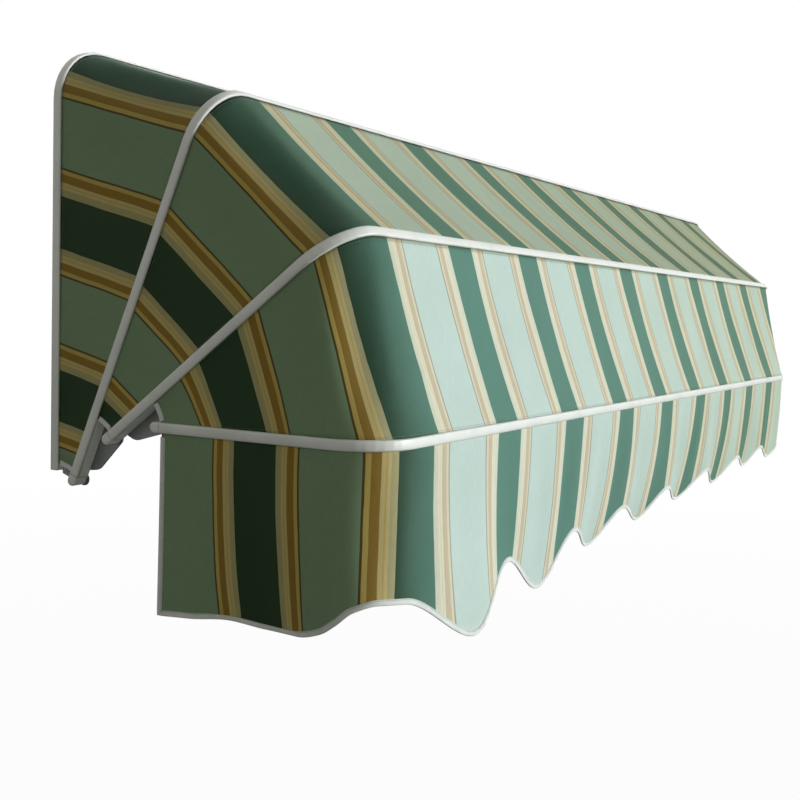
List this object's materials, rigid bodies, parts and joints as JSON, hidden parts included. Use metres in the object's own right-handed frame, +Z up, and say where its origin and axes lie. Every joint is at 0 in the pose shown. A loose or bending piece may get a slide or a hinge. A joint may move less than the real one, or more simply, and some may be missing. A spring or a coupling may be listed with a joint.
{
  "type": "window awning",
  "caption": "Folding window awning: hinged U-shaped aluminium bows with striped cloth panels and a wavy valance, fixed to the wall by its back bow.",
  "frame": {"origin": "on the wall, at the middle of the back of the wall bow's top bar", "axes": "+X to the right along the awning's width, +Y into the wall, +Z up"},
  "size_m": [2.3, 0.5745, 0.7852],
  "materials": {
    "white_profile": "white coated aluminium extrusion",
    "cast_metal": "plain grey casting and sheet",
    "steel": "zinc-plated",
    "striped_cloth": "woven awning cloth, sage and dark green block stripes with tan bands",
    "binding": "white woven binding tape"
  },
  "bodies": {
    "wall_frame": {"wall_bow": "white_profile", "wall_bracket_left": "cast_metal", "wall_bracket_left_rivet": "steel", "wall_bracket_left_screw_1": "steel", "wall_bracket_left_screw_2": "steel", "wall_bracket_right": "cast_metal", "wall_bracket_right_rivet": "steel", "wall_bracket_right_screw_1": "steel", "wall_bracket_right_screw_2": "steel", "wall_clip_left": "cast_metal", "wall_clip_left_screw": "steel", "wall_clip_centre": "cast_metal", "wall_clip_centre_screw": "steel", "wall_clip_right": "cast_metal", "wall_clip_right_screw": "steel"},
    "bow_1": {"bow_1": "white_profile", "bow_1_eye_left": "white_profile", "bow_1_pin_left": "steel", "bow_1_washer_left": "steel", "bow_1_plate_left": "cast_metal", "bow_1_plate_left_rivet_1": "steel", "bow_1_plate_left_rivet_2": "steel", "bow_1_eye_right": "white_profile", "bow_1_pin_right": "steel", "bow_1_washer_right": "steel", "bow_1_plate_right": "cast_metal", "bow_1_plate_right_rivet_1": "steel", "bow_1_plate_right_rivet_2": "steel", "back_panel": "striped_cloth", "back_panel_binding_left": "binding", "back_panel_binding_right": "binding"},
    "bow_2": {"bow_2": "white_profile", "bow_2_eye_left": "white_profile", "bow_2_pin_left": "steel", "bow_2_washer_left": "steel", "bow_2_plate_left": "cast_metal", "bow_2_plate_left_rivet_1": "steel", "bow_2_plate_left_rivet_2": "steel", "bow_2_eye_right": "white_profile", "bow_2_pin_right": "steel", "bow_2_washer_right": "steel", "bow_2_plate_right": "cast_metal", "bow_2_plate_right_rivet_1": "steel", "bow_2_plate_right_rivet_2": "steel", "middle_panel": "striped_cloth", "middle_panel_binding_left": "binding", "middle_panel_binding_right": "binding"},
    "front_bow": {"front_bow": "white_profile", "front_bow_eye_left": "white_profile", "front_bow_pin_left": "steel", "front_bow_washer_left": "steel", "front_bow_eye_right": "white_profile", "front_bow_pin_right": "steel", "front_bow_washer_right": "steel", "front_panel": "striped_cloth", "front_panel_binding_left": "binding", "front_panel_binding_right": "binding", "valance": "striped_cloth", "valance_binding": "binding"}
  },
  "joints": [
    {"name": "bow_1_fold", "type": "hinge", "parent": "wall_frame", "child": "bow_1", "pos_m": [0, -0.0433, -0.6091], "axis": [-1, 0, 0], "range_deg": [0, 23.6], "deforming": ["back_panel", "back_panel_binding_left", "back_panel_binding_right"]},
    {"name": "bow_2_fold", "type": "hinge", "parent": "bow_1", "child": "bow_2", "pos_m": [0, -0.11026, -0.54276], "axis": [-1, 0, 0], "range_deg": [0, 29.2], "deforming": ["middle_panel", "middle_panel_binding_left", "middle_panel_binding_right"]},
    {"name": "front_bow_fold", "type": "hinge", "parent": "bow_2", "child": "front_bow", "pos_m": [0, -0.20108, -0.51751], "axis": [-1, 0, 0], "range_deg": [0, 36.4], "deforming": ["front_panel", "front_panel_binding_left", "front_panel_binding_right", "valance", "valance_binding"]}
  ],
  "couplings": [
    {"joint": "bow_2_fold", "follows": "bow_1_fold", "ratio": 1.237},
    {"joint": "front_bow_fold", "follows": "bow_1_fold", "ratio": 1.542}
  ]
}
